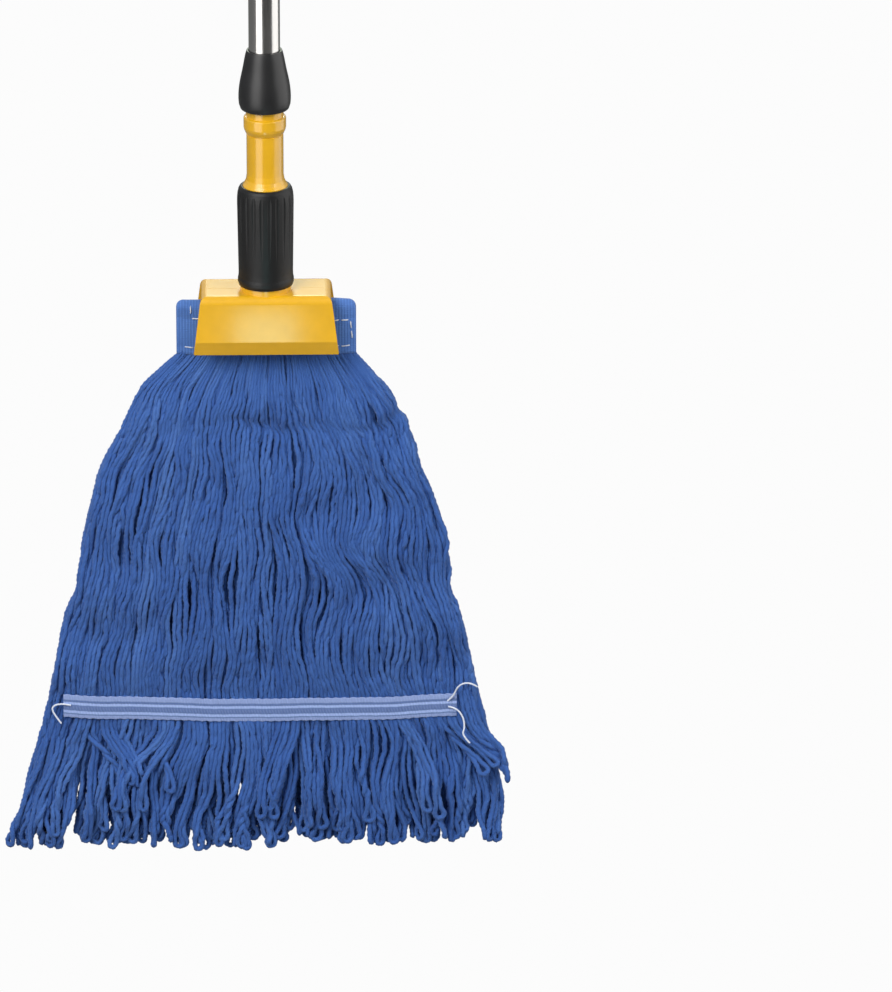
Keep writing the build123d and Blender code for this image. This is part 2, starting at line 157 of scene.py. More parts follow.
# ---- Materials -----------------------------------------------------------------------------------
def steel(name, roughness, scratch):
    """Stainless with fine scratches along the handle and a faint haze of wear."""
    look = Finish(name, (0.60, 0.585, 0.565), roughness, Metallic=1.0)
    lines = look.noise(1.0, detail=4, at=look.place((5200, 5200, 55)))
    haze = look.noise(38.0, detail=3)
    look.rough(look.math("MULTIPLY", lines, haze), roughness - 0.05, roughness + 0.24)
    look.color(look.ramp(lines, (0.3, (0.53, 0.515, 0.50)), (0.7, (0.66, 0.65, 0.63))))
    look.bump(lines, scratch)
    return look.material


def moulded(name, color, roughness, grain=0.00002, grain_scale=2600.0, spread=0.10, **sockets):
    """Moulded plastic: fine grain, uneven gloss and slight shifts of tone."""
    look = Finish(name, color, roughness, **sockets)
    tone = look.noise(55.0, detail=4)
    darker = tuple(c * 0.94 for c in color)
    lighter = tuple(min(1.0, c * 1.05 + 0.001) for c in color)
    look.color(look.ramp(tone, (0.3, darker), (0.7, lighter)))
    look.rough(look.noise(140.0, detail=5), roughness - spread / 2, roughness + spread / 2)
    look.bump(look.noise(grain_scale, detail=2), grain)
    return look.material


def yarn_look():
    """Twisted cotton: plies and fibres in bump, and each strand with its own depth of dye."""
    look = Finish("yarn", (0.05, 0.11, 0.32), 0.9, Specular_IOR_Level=0.25)
    look.set("Sheen Weight", 0.35)
    look.set("Sheen Roughness", 0.45)
    look.set("Sheen Tint", (0.45, 0.6, 1.0))
    tone = look.add("Attribute", attribute_name="tone").outputs["Fac"]
    blotch = look.noise(24.0, detail=3)
    shade = look.math("ADD", look.math("MULTIPLY", tone, 0.6), look.math("MULTIPLY", blotch, 0.4))
    dyed = look.ramp(
        shade, (0.2, (0.033, 0.105, 0.370)), (0.5, (0.054, 0.149, 0.460)), (0.8, (0.092, 0.212, 0.555))
    )
    # Darker blue mixed in, in patches around and along each strand.
    dark_patches = look.noise(1.0, detail=2, at=look.place((3.0, 210.0, 1.0), "UV"))
    look.color(look.mix(look.math("MULTIPLY", dark_patches, 0.35), dyed, (0.019, 0.074, 0.29)))
    look.bump(look.noise(1.0, detail=3, at=look.place((22.0, 500.0, 1.0), "UV")), 0.00045)
    look.bump(look.noise(3800.0, detail=2), 0.00018)
    return look.material


def band_look():
    """Knitted headband: close vertical ribs with a fine knit across them, and painted shade darkening the
    grooves between the ribs.
    """
    look = Finish("headband_knit", (0.07, 0.16, 0.43), 0.85, Specular_IOR_Level=0.25)
    look.set("Sheen Weight", 0.3)
    look.set("Sheen Roughness", 0.5)
    look.set("Sheen Tint", (0.5, 0.65, 1.0))
    rows = look.add("TexWave", wave_type="BANDS", bands_direction="Z", wave_profile="SIN")
    look.tree.links.new(look.place(), rows.inputs["Vector"])
    rows.inputs["Scale"].default_value = 2 * math.pi / (20 * 1.5 * MM)
    rows.inputs["Distortion"].default_value = 0.6
    tone = look.noise(60.0, detail=4)
    dyed = look.ramp(tone, (0.3, (0.076, 0.184, 0.51)), (0.7, (0.108, 0.240, 0.61)))
    # Painted shade: the grooves between the ribs are mixed towards a darker blue, while the crests keep
    # the dyed colour.
    rib_shade = look.add("Attribute", attribute_name="rib").outputs["Fac"]
    look.color(look.mix(rib_shade, (0.060, 0.150, 0.43), dyed))
    look.bump(rows.outputs["Fac"], 0.00012)
    look.bump(look.noise(3200.0, detail=2), 0.00012)
    return look.material


def tape_look():
    """Striped webbing: pale edges, two white lines and a herringbone middle, from V across it."""
    look = Finish("tape_webbing", (0.2, 0.28, 0.52), 0.8, Specular_IOR_Level=0.3)
    look.set("Sheen Weight", 0.2)
    uv = look.add("SeparateXYZ", look.place((1, 1, 1), "UV"))
    along, across = uv.outputs[0], uv.outputs[1]
    wander = look.math("MULTIPLY", look.noise(160.0, detail=2), 0.05)
    across = look.math("ADD", across, look.math("SUBTRACT", wander, 0.025))
    pale, dull, white = (0.32, 0.42, 0.74), (0.135, 0.215, 0.47), (0.40, 0.53, 0.90)
    stripes = look.ramp(
        across,
        (0.02, pale),
        (0.12, pale),
        (0.15, dull),
        (0.18, dull),
        (0.20, white),
        (0.29, white),
        (0.33, dull),
        (0.56, dull),
        (0.60, white),
        (0.68, white),
        (0.71, dull),
        (0.79, dull),
        (0.83, pale),
        (0.98, pale),
    )
    # Slanted white floats across the middle third.
    slant = look.math("ADD", look.math("MULTIPLY", along, 1.0), look.math("MULTIPLY", across, 0.0052))
    floats = look.math("SINE", look.math("MULTIPLY", slant, 2 * math.pi / (2.4 * MM)))
    inside = look.math("LESS_THAN", look.math("ABSOLUTE", look.math("SUBTRACT", across, 0.445)), 0.09)
    hatch = look.math("MULTIPLY", look.math("GREATER_THAN", floats, 0.25), inside)
    colored = look.mix(look.math("MULTIPLY", hatch, 0.35), stripes, (0.24, 0.33, 0.62))
    picks = look.math("SINE", look.math("MULTIPLY", along, 2 * math.pi / (0.9 * MM)))
    shade = look.math("MULTIPLY", look.math("ADD", picks, 1.0), 0.12)
    look.color(look.mix(shade, colored, (0.05, 0.08, 0.24)))
    look.bump(picks, 0.00008)
    look.bump(floats, 0.00010)
    look.bump(look.noise(3600.0, detail=2), 0.0001)
    return look.material


def thread_look():
    """White sewing thread with its twist."""
    look = Finish("white_thread", (0.80, 0.83, 0.90), 0.6, Specular_IOR_Level=0.4)
    look.set("Sheen Weight", 0.15)
    look.color(look.ramp(look.noise(900.0), (0.35, (0.62, 0.68, 0.80)), (0.65, (0.86, 0.88, 0.93))))
    look.bump(look.noise(2600.0, detail=2), 0.0002)
    return look.material


BLACK = (0.010, 0.010, 0.0105)
YELLOW = (0.80, 0.43, 0.008)
STEEL = steel("tube_stainless", 0.17, 0.000004)
PIN_STEEL = steel("pin_stainless", 0.28, 0.000006)
GRIP_BLACK = moulded("grip_black", BLACK, 0.46, grain=0.00006, grain_scale=1500.0)
COUPLER_BLACK = moulded("coupler_black", (0.008, 0.008, 0.009), 0.20, grain=0.000006, spread=0.06)
COLLAR_BLACK = moulded("collar_black", BLACK, 0.38, grain=0.00002, spread=0.08)
NUT_BLACK = moulded(
    "nut_black", (0.009, 0.009, 0.0092), 0.42, grain=0.00003, spread=0.08, Specular_IOR_Level=0.3
)
INSERT_GREY = moulded("insert_grey", (0.05, 0.05, 0.055), 0.5)
SEAL_RUBBER = moulded("seal_rubber", (0.02, 0.02, 0.02), 0.75, grain=0.00005)
RING_WHITE = moulded("ring_natural", (0.74, 0.72, 0.66), 0.4)
CLAMP_YELLOW = moulded(
    "clamp_yellow", YELLOW, 0.26, grain=0.000004, spread=0.04, Coat_Weight=0.7, Coat_Roughness=0.16
)
YARN = yarn_look()
BAND_KNIT = band_look()
TAPE_WEB = tape_look()
THREAD = thread_look()

NODE_LOOKS = {
    "handle_grip": GRIP_BLACK,
    "upper_tube": STEEL,
    "middle_tube": STEEL,
    "lower_tube": STEEL,
    "upper_tube_stud": INSERT_GREY,
    "middle_tube_stud": INSERT_GREY,
    "middle_tube_socket": INSERT_GREY,
    "lower_tube_socket": INSERT_GREY,
    "lower_tube_foot": INSERT_GREY,
    "upper_joint_seal": SEAL_RUBBER,
    "middle_joint_seal": SEAL_RUBBER,
    "upper_coupler": COUPLER_BLACK,
    "middle_coupler": COUPLER_BLACK,
    "lock_collar": COLLAR_BLACK,
    "compression_ring": RING_WHITE,
    "clamp_frame": CLAMP_YELLOW,
    "front_jaw": CLAMP_YELLOW,
    "jaw_pivot_pin": PIN_STEEL,
    "clamp_nut": NUT_BLACK,
    "thrust_ring": RING_WHITE,
}
for node, look in NODE_LOOKS.items():
    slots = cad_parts[node].data.materials
    slots.clear()
    slots.append(look)


# ---- Mesh helpers --------------------------------------------------------------------------------
def piece(name, points, faces, material, body="mop_head", uv=None, values=None):
    """A smooth mesh object from arrays, riding on a body, with optional UVs and point values."""
    mesh = bpy.data.meshes.new(name)
    mesh.vertices.add(len(points))
    mesh.vertices.foreach_set("co", np.asarray(points, np.float32).ravel())
    mesh.loops.add(faces.size)
    mesh.loops.foreach_set("vertex_index", faces.ravel().astype(np.int32))
    mesh.polygons.add(len(faces))
    corners = faces.shape[1]
    mesh.polygons.foreach_set("loop_start", np.arange(0, faces.size, corners, dtype=np.int32))
    mesh.polygons.foreach_set("loop_total", np.full(len(faces), corners, np.int32))
    mesh.update(calc_edges=True)
    mesh.validate()
    mesh.polygons.foreach_set("use_smooth", np.ones(len(mesh.polygons), bool))
    if uv is not None:
        layer = mesh.uv_layers.new(name="strand")
        layer.data.foreach_set("uv", np.asarray(uv, np.float32).ravel())
    for key, value in (values or {}).items():
        attribute = mesh.attributes.new(key, "FLOAT", "POINT")
        attribute.data.foreach_set("value", np.asarray(value, np.float32).ravel())
    mesh.materials.append(material)
    thing = bpy.data.objects.new(name, mesh)
    bpy.context.scene.collection.objects.link(thing)
    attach(thing, body)
    return thing


def section_faces(rows, around, wide, last):
    """Quads around and along rows of a closed section, with both ends closed.

    At each end the first `wide` points of the section are joined to those that count down from
    `last`, which lie across from them.
    """
    i = np.arange(rows - 1)[:, None] * around
    j = np.arange(around)[None]
    following = (j + 1) % around
    sides = np.stack((i + j, i + around + j, i + around + following, i + following), axis=-1)
    k = np.arange(wide - 1)
    cap = np.stack((k, k + 1, last - 1 - k, last - k), axis=1)
    return np.concatenate((sides.reshape(-1, 4), cap, (cap + (rows - 1) * around)[:, ::-1]))


def resample(path, count):
    """The path (n, 3) as count points evenly spaced along it."""
    steps = np.linalg.norm(np.diff(path, axis=0), axis=1)
    at = np.concatenate(([0.0], np.cumsum(steps)))
    wanted = np.linspace(0.0, at[-1], count)
    return np.stack([np.interp(wanted, at, path[:, k]) for k in range(3)], axis=1)


def smooth_rows(rows, passes):
    """Rounds each path in (paths, points, 3) by averaging neighbours, keeping its ends."""
    for _ in range(passes):
        rows[:, 1:-1] += 0.5 * ((rows[:, :-2] + rows[:, 2:]) / 2 - rows[:, 1:-1])
    return rows


def frames_along(paths):
    """Tangents and twist-free normals for paths (paths, points, 3), carried along each path."""
    tangent = np.gradient(paths, axis=1)
    tangent /= np.linalg.norm(tangent, axis=2, keepdims=True)
    normal = np.empty_like(tangent)
    start = np.array([0.0, 1.0, 0.0]) - tangent[:, 0] * tangent[:, 0, 1:2]
    normal[:, 0] = start / np.linalg.norm(start, axis=1, keepdims=True)
    for i in range(1, paths.shape[1]):
        carried = normal[:, i - 1]
        carried = carried - tangent[:, i] * np.sum(carried * tangent[:, i], axis=1, keepdims=True)
        normal[:, i] = carried / np.linalg.norm(carried, axis=1, keepdims=True)
    return tangent, normal, np.cross(tangent, normal)


def strand_tubes(paths, radius, sides=8, plies=4, ply_depth=0.10, lay=0.018, tone=None):
    """Twisted yarn around paths (n, points, 3) with radius (n, points).

    Returns points, faces, UVs (turn, metres along) and each point's tone. Ply crests run with the
    mesh's own edges, which turn once in each lay length.
    """
    count, rings, _ = paths.shape
    tangent, normal, binormal = frames_along(paths)
    steps = np.linalg.norm(np.diff(paths, axis=1), axis=2)
    along = np.concatenate((np.zeros((count, 1)), np.cumsum(steps, axis=1)), axis=1)
    side = np.arange(sides) * 2 * np.pi / sides
    crest = 1.0 + ply_depth * np.cos(plies * side)
    angle = along[:, :, None] * (2 * np.pi / lay) + side
    reach = radius[:, :, None] * crest
    points = (
        paths[:, :, None]
        + (np.cos(angle) * reach)[..., None] * normal[:, :, None]
        + (np.sin(angle) * reach)[..., None] * binormal[:, :, None]
    ).reshape(-1, 3)
    ring = (np.arange(count)[:, None, None] * rings + np.arange(rings - 1)[None, :, None]) * sides
    k = np.arange(sides)[None, None, :]
    following = (k + 1) % sides
    quads = (ring + k, ring + following, ring + sides + following, ring + sides + k)
    faces = np.stack(quads, axis=-1).reshape(-1, 4)
    turn = np.stack(np.broadcast_arrays(k, k + 1, k + 1, k), axis=-1) / sides
    here, there = along[:, :-1, None], along[:, 1:, None]
    metres = np.stack(np.broadcast_arrays(here, here, there, there), axis=-1)
    uv = np.stack(np.broadcast_arrays(turn, metres), axis=-1)
    uv = np.broadcast_to(uv, (count, rings - 1, sides, 4, 2)).reshape(-1, 2)
    shade = np.repeat(np.zeros(count) if tone is None else tone, rings * sides)
    return points, faces, uv, shade


# ---- The yarn ------------------------------------------------------------------------------------
# The hanging yarn in millimetres: drop, width left of the handle, width right of it.
OUTLINE = (
    (-30, 69, 69), (0, 69, 70), (6, 78, 76), (28, 101, 94), (41, 107, 102), (79, 125, 119),
    (104, 136, 127), (143, 145, 139), (213, 162, 153), (244, 168, 159), (282, 175, 167),
    (300, 179, 171), (331, 187, 181), (349, 192, 183), (389, 202, 191), (423, 215, 191),
)
OUTLINE_DROP, OUTLINE_LEFT, OUTLINE_RIGHT = np.array(OUTLINE).T * MM
# Drop, and half the yarn's depth from front to back.
DEPTH = (
    (-30, 6.2), (0, 6.4), (16, 9.5), (46, 13.5), (58, 13), (66, 12.6), (78, 14.5), (119, 16),
    (166, 16.5), (220, 16), (259, 13.5), (285, 10.5), (294, 9), (312, 9), (322, 10.5), (346, 14),
    (378, 16), (440, 15),
)
DEPTH_DROP, DEPTH_HALF = np.array(DEPTH).T * MM

LOOPS = 300
LAYERS = 6
STRAND_R = 1.72 * MM
# The soft strands are drawn this much thicker than the spacing that they are settled with.
SOFTNESS = 1.20
LEVELS = 132
START_DROP = -20 * MM
EYE_R = 3.4 * MM
LOOP_RINGS = 560
SIDES = 8
YARN_PIECES = 15

# Waves of the strands: direction, likeness, shortest and longest wave, and size, all in metres.
WAVES = (
    ("sideways", 0.045, 0.10, 0.17, 2.2 * MM),
    ("sideways", 0.018, 0.05, 0.09, 0.9 * MM),
    ("sideways", 0.005, 0.024, 0.045, 0.6 * MM),
    ("sideways", 0.004, 0.10, 0.22, 1.8 * MM),
    ("through", 0.020, 0.06, 0.13, 2.4 * MM),
    ("through", 0.004, 0.05, 0.12, 1.4 * MM),
)

# Settling: neighbours looked at, share of an overlap that is undone in a round, pull along a
# strand towards its neighbours' middle, pull back to its own place, and rounds.
NEIGHBOURS = 14
PUSH = 0.27
STRAIGHTEN = 0.22
RETURN = 0.05
SETTLE_ROUNDS = 80

# Where the fringe parts into clumps along its lower edge, and how wide the parting is.
CLUMP_EDGES = np.array([-222, -190, -166, -84, -64, -5, 21, 78, 112, 139, 171, 206]) * MM
PARTING = 9 * MM

# Straying loops: how many, from where across the fringe, how far sideways, and how far below the
# tape they end, in millimetres.
STRAYS = (
    (5, 172, 30, 58),
    (4, -152, 40, 62),
    (3, -112, 26, 76),
    (3, -96, -18, 84),
    (3, 14, -22, 88),
    (2, 120, 16, 92),
)
# Strays may leave the yarn's outline by this much.
STRAY_ROOM = 9 * MM
FAR_ASIDE = 0.23

# The line of sharper crimps below the clamp: its drop and height, and how far it bends and dents.
CRIMP_DROP = 60 * MM
CRIMP_TALL = 5 * MM
CRIMP_BEND = 1.4 * MM
CRIMP_DENT = 2.1 * MM


def eased(value, low, high):
    """0 below low and 1 above high, with a smooth step between."""
    t = np.clip((value - low) / (high - low), 0, 1)
    return t * t * (3 - 2 * t)


def drift(rng, x, y, z, likeness, shortest, longest, size, waves=9):
    """Smooth drift down each strand, alike for strands within `likeness` of each other."""
    total = np.zeros(np.broadcast(x, y, z).shape)
    for _ in range(waves):
        across = rng.normal() / likeness
        through = rng.normal() / (0.5 * likeness)
        down = 2 * np.pi / rng.uniform(shortest, longest)
        total += np.sin(across * x + through * y + down * z + rng.uniform(0, 2 * np.pi))
    return total * size / math.sqrt(waves / 2)


def push_apart(x, y, apart):
    """One round that moves strands closer than `apart` away from their neighbours, level by level."""
    order = np.argsort(x, axis=1)
    near_x, near_y = np.take_along_axis(x, order, 1), np.take_along_axis(y, order, 1)
    move_x, move_y = np.zeros_like(x), np.zeros_like(y)
    for k in range(1, NEIGHBOURS):
        dx, dy = near_x[:, k:] - near_x[:, :-k], near_y[:, k:] - near_y[:, :-k]
        distance = np.sqrt(dx * dx + dy * dy) + 1e-9
        push = PUSH * np.clip(apart - distance, 0, None) / distance
        move_x[:, k:] += push * dx
        move_x[:, :-k] -= push * dx
        move_y[:, k:] += push * dy
        move_y[:, :-k] -= push * dy
    np.put_along_axis(x, order, near_x + move_x, 1)
    np.put_along_axis(y, order, near_y + move_y, 1)


def settle_strands():
    """Places both legs of every loop at each level, then pushes overlapping strands apart.

    Returns (levels, 2 * LOOPS, 2) sideways and through positions, the drops of the levels, and the
    drop at which each loop ends.
    """
    rng = np.random.default_rng(41)
    drops = np.linspace(START_DROP, END_DROP, LEVELS)
    z = drops[:, None]
    left = np.interp(drops, OUTLINE_DROP, OUTLINE_LEFT)[:, None] - STRAND_R
    right = np.interp(drops, OUTLINE_DROP, OUTLINE_RIGHT)[:, None] - STRAND_R
    half = np.interp(drops, DEPTH_DROP, DEPTH_HALF)[:, None] - STRAND_R

    # Loops in columns through the thickness, so that every face is covered from edge to edge.
    columns = LOOPS // LAYERS
    column = np.tile(np.arange(columns), LAYERS)
    layer = np.repeat(np.arange(LAYERS), columns)
    share = (column + 0.5 * (layer % 2) + rng.uniform(0.0, 0.7, LOOPS)) / (columns + 0.2)
    s = np.clip(share * 2 - 1, -0.995, 0.995)
    t = (layer / (LAYERS - 1)) * 2 - 1 + rng.uniform(-0.2, 0.2, LOOPS)
    gap = 1.05 / columns
    legs_s = np.clip(np.stack((s - gap / 2, s + gap / 2), axis=1).ravel(), -1, 1)
    legs_t = np.clip(np.repeat(t, 2) + rng.uniform(-0.15, 0.15, 2 * LOOPS), -1, 1)
    rim = np.sqrt(np.clip(1 - np.abs(legs_s) ** 6, 0, 1))
    x = np.where(legs_s > 0, legs_s * right, legs_s * left)
    y = legs_t * rim * half

    # Waves of several lengths, quiet in the headband and where the tail tapes are sewn.
    home_x, home_y = legs_s * 0.15, legs_t * 0.014
    free = eased(z, 0.004, 0.05) * (1 - 0.9 * np.exp(-(((z - TAPE_DROP) / 0.017) ** 2)))
    for direction, *wave in WAVES:
        shift = free * drift(rng, home_x, home_y, z, *wave)
        if direction == "sideways":
            x = x + shift
        else:
            y = y + shift

    # Below the tape each loop leans its own way, within its clump.
    below = eased(z, TAPE_DROP + 0.012, END_DROP)
    lean = rng.normal(0, 5.5, LOOPS) * MM
    end_x = np.where(s > 0, s * right[-1], s * left[-1])
    clump = np.clip(np.searchsorted(CLUMP_EDGES, end_x) - 1, 0, len(CLUMP_EDGES) - 2)
    low_edge, high_edge = CLUMP_EDGES[clump], CLUMP_EDGES[clump + 1]
    lean += rng.uniform(-7, 7, len(CLUMP_EDGES))[clump] * MM
    reach = 2 * (end_x - (low_edge + high_edge) / 2) / (high_edge - low_edge)
    ends = END_DROP - 0.5 * MM - rng.uniform(0, 1, LOOPS) ** 3 * 15 * MM
    ends -= rng.uniform(0, 6, len(CLUMP_EDGES))[clump] * MM + 6 * MM * np.abs(reach) ** 3
    slack = 34 * MM * (1 - eased(z, TAPE_DROP + 0.035, END_DROP - 0.010)) + 1.0 * (z < TAPE_DROP)
    parted = PARTING / 2 * eased(z, END_DROP - 0.045, END_DROP - 0.006)
    lowest = np.repeat(low_edge, 2) - slack + parted
    highest = np.repeat(high_edge, 2) + slack - parted
    outward = np.zeros(LOOPS)

    # A few loops on the front stray sideways and end high, as the outermost ones do at the right.
    for number, place_x, stray, stop in STRAYS:
        front = np.where(layer == 0, np.abs(end_x - place_x * MM), 1.0)
        for loop in np.argsort(front)[:number]:
            lean[loop] = (stray + rng.uniform(-4, 4)) * MM
            ends[loop] = TAPE_DROP + (stop + rng.uniform(-7, 7)) * MM
            outward[loop] = rng.uniform(3.0, 6.0) * MM
            lowest[:, 2 * loop : 2 * loop + 2] = -FAR_ASIDE
            highest[:, 2 * loop : 2 * loop + 2] = FAR_ASIDE
    early = eased(z, TAPE_DROP + 0.014, TAPE_DROP + 0.066)
    straying = np.repeat(outward > 0, 2)
    x = x + np.repeat(lean, 2) * np.where(straying, early, below)
    outward = np.repeat(outward, 2) * early
    y = y - outward

    base_x, base_y = x.copy(), y.copy()
    apart = (2 * STRAND_R * (0.50 + 0.49 * eased(drops, -0.005, 0.06)))[:, None]
    taped = np.abs(z - TAPE_DROP) < 13 * MM
    depth = np.where(taped, np.minimum(half, TAPE_INSIDE - STRAND_R * 1.02), half * 1.05)
    lowest = np.maximum(lowest, -left - STRAY_ROOM * straying)
    highest = np.minimum(highest, right + STRAY_ROOM * straying)
    for _ in range(SETTLE_ROUNDS):
        push_apart(x, y, apart)
        for rows in (x, y):
            rows[1:-1] += STRAIGHTEN * ((rows[:-2] + rows[2:]) / 2 - rows[1:-1])
        x += RETURN * (base_x - x)
        y += RETURN * (base_y - y)
        x[:] = np.clip(x, lowest, highest)
        y[:] = np.clip(y, -depth - outward, depth)
    return np.stack((x, y), axis=2), drops, ends


def loop_paths(place, drops, ends):
    """Joins each loop's two legs with a twisted neck and a small round eye at the bottom."""
    rng = np.random.default_rng(17)
    paths = np.empty((LOOPS, LOOP_RINGS, 3))
    for loop in range(LOOPS):
        leg_a, leg_b = place[:, 2 * loop], place[:, 2 * loop + 1]
        eye = EYE_R * rng.uniform(0.8, 1.3)
        last = ends[loop] - eye
        down = np.linspace(START_DROP, last, 120)
        a = np.stack([np.interp(down, drops, leg_a[:, k]) for k in (0, 1)], axis=1)
        b = np.stack([np.interp(down, drops, leg_b[:, k]) for k in (0, 1)], axis=1)
        middle = (a + b) / 2
        apart = (b - a) / 2
        size = np.linalg.norm(apart, axis=1)
        heading = np.unwrap(np.arctan2(apart[:, 1], apart[:, 0]))
        above = last - down
        twist_length = rng.uniform(18, 55) * MM
        turns = rng.choice([0.0, 0.5, 0.5, 1.0, 1.5]) * rng.choice([-1, 1])
        twisted = eased(-above, -twist_length, -4 * MM)
        heading = heading + twisted * turns * 2 * math.pi
        close = STRAND_R * 1.03
        size = size + (close - size) * eased(-above, -twist_length * 1.2, -twist_length * 0.6)
        size = size + (eye - size) * eased(-above, -9 * MM, 0)
        apart = np.stack((np.cos(heading), np.sin(heading)), axis=1) * size[:, None]
        a, b = middle - apart, middle + apart
        arc = np.linspace(0, math.pi, 13)[1:-1]
        round_end = middle[-1] - np.cos(arc)[:, None] * apart[-1]
        flat = np.concatenate((a, round_end, b[::-1]))
        height = np.concatenate((down, last + np.sin(arc) * eye, down[::-1]))
        path = np.column_stack((flat, BAND_BOTTOM - height))
        paths[loop] = resample(path, LOOP_RINGS)
    paths = smooth_rows(paths, 3)
    # Small uneven wriggles of the soft yarn itself, none of them at the loop's sewn ends.
    at = np.linspace(0, 1, LOOP_RINGS)
    loose = (eased(at, 0.02, 0.08) * eased(1 - at, 0.02, 0.08))[None, :]
    for axis in (0, 1):
        for _ in range(5):
            waves = rng.uniform(35, 95, (LOOPS, 1))
            phase = rng.uniform(0, 1, (LOOPS, 1))
            paths[..., axis] += 0.12 * MM * loose * np.sin(2 * np.pi * (waves * at + phase))
    # One line of sharper crimps runs across the yarn a little below the clamp.
    x, y = paths[..., 0].copy(), paths[..., 1]
    line = CRIMP_DROP + (4 * np.sin(x * 34) + 3 * np.sin(x * 91 + 1)) * MM
    crimp = (BAND_BOTTOM - paths[..., 2] - line) / CRIMP_TALL
    strength = eased(x, -0.11, -0.03) * (0.7 + 0.4 * np.sin(x * 57 + 2))
    paths[..., 0] += CRIMP_BEND * strength * crimp * np.exp(0.5 - crimp**2 / 2)
    towards_face = np.clip(y / (8 * MM), -1, 1)
    paths[..., 1] -= towards_face * CRIMP_DENT * strength * np.exp(-(crimp**2) / 2)
    return paths


def build_yarn():
    """The whole looped yarn, in strips of neighbouring loops so that no piece is too heavy."""
    place, drops, ends = settle_strands()
    paths = loop_paths(place, drops, ends)
    rng = np.random.default_rng(5)
    tone = rng.normal(0.5, 0.16, LOOPS)
    drop = BAND_BOTTOM - paths[..., 2]
    radius = STRAND_R * SOFTNESS * (0.58 + 0.42 * eased(drop, -0.004, 0.060))
    for length in (0.047, 0.031, 0.012):
        radius = radius * (1 + 0.03 * np.sin(drop * 2 * np.pi / length + rng.uniform(0, 6.3, (LOOPS, 1))))
    order = np.argsort(paths[:, LOOP_RINGS // 2, 0])
    for number, group in enumerate(np.array_split(order, YARN_PIECES), 1):
        points, faces, uv, shade = strand_tubes(paths[group], radius[group], SIDES, tone=tone[group])
        name = f"yarn_loops_{number}"
        strip = piece(name, points, faces, YARN, uv=uv, values={"tone": shade})
        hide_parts("yarn_skirt", "loop_fringe")


build_yarn()


# ---- Headband ------------------------------------------------------------------------------------
RIB_PITCH = 2.35 * MM
BAND_HALF = (BAND_HIGH.x - BAND_LOW.x) / 2
BAND_DEEP = (BAND_HIGH.y - BAND_LOW.y) / 2
CLOTH = 1.5 * MM
UPPER_ROW = BAND_HIGH.z - 14.5 * MM
LOWER_ROW = BAND_HIGH.z - 38.0 * MM


def band_half_depth(x):
    """Half the folded band's thickness, pinched towards its sewn ends."""
    return BAND_DEEP * (0.98 - 0.42 * np.abs(x / BAND_HALF) ** 7)


def band_top(x):
    """Height of the fold's crest, with rounded ends and a slight unevenness."""
    corner = np.clip((np.abs(x) - (BAND_HALF - 6 * MM)) / (6 * MM), 0, 1)
    return BAND_HIGH.z - 6 * MM * (1 - np.sqrt(1 - corner**2)) - 0.5 * MM * (1 + np.sin(x * 95))


def band_side(x, z):
    """Half depth of the band's outer face at (x, z): rounded over at the top, pulled in by seams."""
    deep = band_half_depth(x)
    below = band_top(x) - z
    radius = np.minimum(deep, 6.5 * MM)
    over = np.clip(1 - below / radius, 0, 1)
    face = deep - radius + radius * np.sqrt(np.clip(1 - over**2, 0, 1))
    seam = np.exp(-(((z - UPPER_ROW) / (1.5 * MM)) ** 2)) + np.exp(-(((z - LOWER_ROW) / (1.5 * MM)) ** 2))
    bulge = 0.35 * MM * np.sin(z * 210 + x * 31)
    return face - 0.55 * MM * seam * (deep > 4 * MM) + bulge * np.clip(below / (8 * MM), 0, 1) - 0.3 * MM


def build_headband():
    """A folded knitted tape, open along its lower edge, with ribs in its surface."""
    columns = int(2 * BAND_HALF / RIB_PITCH) * 6
    x = np.linspace(-BAND_HALF, BAND_HALF, columns + 1)[:, None]
    rise = 34
    top = band_top(x)
    low = BAND_LOW.z + 0.6 * MM * (1 + np.sin(x * 140)) * 0.5
    # From the front hem up over the fold and down to the back hem.
    heights = low + (top - low) * np.sin(np.linspace(0, math.pi / 2, rise))[None]
    rib = 0.5 + 0.5 * np.cos(2 * np.pi * x / RIB_PITCH)
    relief = 0.20 * MM * (rib - 0.5)
    outer = band_side(x, heights) + relief * np.clip((top - heights) / (2 * MM), 0, 1)
    outer[:, -1] = 0
    front = np.stack(np.broadcast_arrays(x, -outer, heights), axis=2)
    back = np.stack(np.broadcast_arrays(x, outer, heights), axis=2)[:, ::-1][:, 1:]
    skin = np.concatenate((front, back), axis=1)
    sewn_shut = eased(np.abs(x), BAND_HALF - 7 * MM, BAND_HALF - 1.5 * MM)
    inner_half = np.clip((outer - CLOTH) * (1 - sewn_shut), 0.2 * MM, None)
    inner_top = np.minimum(heights, top - CLOTH)
    inner_front = np.stack(np.broadcast_arrays(x, -inner_half, inner_top), axis=2)
    inner_front[:, -1, 1] = 0
    inner_back = np.stack(np.broadcast_arrays(x, inner_half, inner_top), axis=2)[:, ::-1][:, 1:]
    lining = np.concatenate((inner_front, inner_back), axis=1)
    # One closed loop around the cloth's section: out along the skin, back along the lining.
    section = np.concatenate((skin, lining[:, ::-1]), axis=1)
    rows, around, _ = section.shape
    faces = section_faces(rows, around, skin.shape[1], around - 1)
    # Where the rib crests lie, which also sets the painted shade in the grooves between them.
    rib_shade = np.repeat(rib, around, axis=1)
    points = section.reshape(-1, 3)
    band = piece("knitted_headband", points, faces, BAND_KNIT, values={"rib": rib_shade})
    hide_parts("headband")


STITCH = 6.6 * MM
STITCH_GAP = 1.5 * MM
STITCH_SLANT = 0.5 * MM
STITCH_SINK = 0.7 * MM
STITCH_LIFT = 0.35 * MM
STITCH_R = 0.55 * MM


